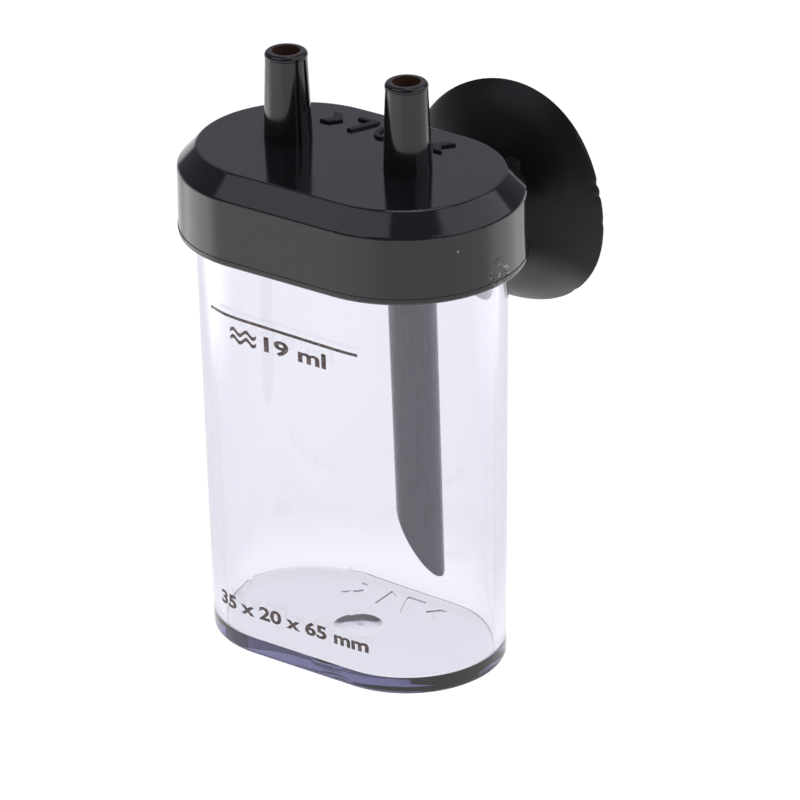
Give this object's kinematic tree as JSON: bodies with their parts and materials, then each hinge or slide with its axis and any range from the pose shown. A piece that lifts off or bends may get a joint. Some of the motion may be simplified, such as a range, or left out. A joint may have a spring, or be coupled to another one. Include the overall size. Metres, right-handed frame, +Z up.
{
  "type": "aquarium bubble counter",
  "caption": "Bubble counter for aquarium carbon dioxide: clear obround cup, black press-on cap with hose nipples and a dip tube, and a suction cup on the back.",
  "frame": {"origin": "middle of the underside of the cup", "axes": "+Z up, X along the long side of the cup, -Y the printed front, +Y the back with the suction cup"},
  "size_m": [0.0387, 0.0347, 0.065],
  "materials": {
    "clear_plastic": "polished clear moulding with a faint violet tint",
    "black_plastic": "glossy black moulding",
    "tube_plastic": "black tube, semi-gloss",
    "seal_rubber": "soft black rubber, matt",
    "cup_rubber": "soft black rubber, satin",
    "ink": "dark brown-black printed ink"
  },
  "bodies": {
    "reservoir": {"reservoir_cup": "clear_plastic"},
    "cap_unit": {"cap": "black_plastic", "cap_gasket": "seal_rubber", "dip_tube": "tube_plastic"},
    "suction_cup_body": {"suction_cup": "cup_rubber"}
  },
  "joints": [
    {"name": "cap_lift", "type": "slide", "parent": "reservoir", "child": "cap_unit", "axis": [0, 0, 1], "range_m": [0, 0.046]},
    {"name": "suction_cup_swivel", "type": "hinge", "parent": "cap_unit", "child": "suction_cup_body", "pos_m": [0.0046, 0.0158, 0.0445], "axis": [0, 1, 0], "continuous": true}
  ]
}
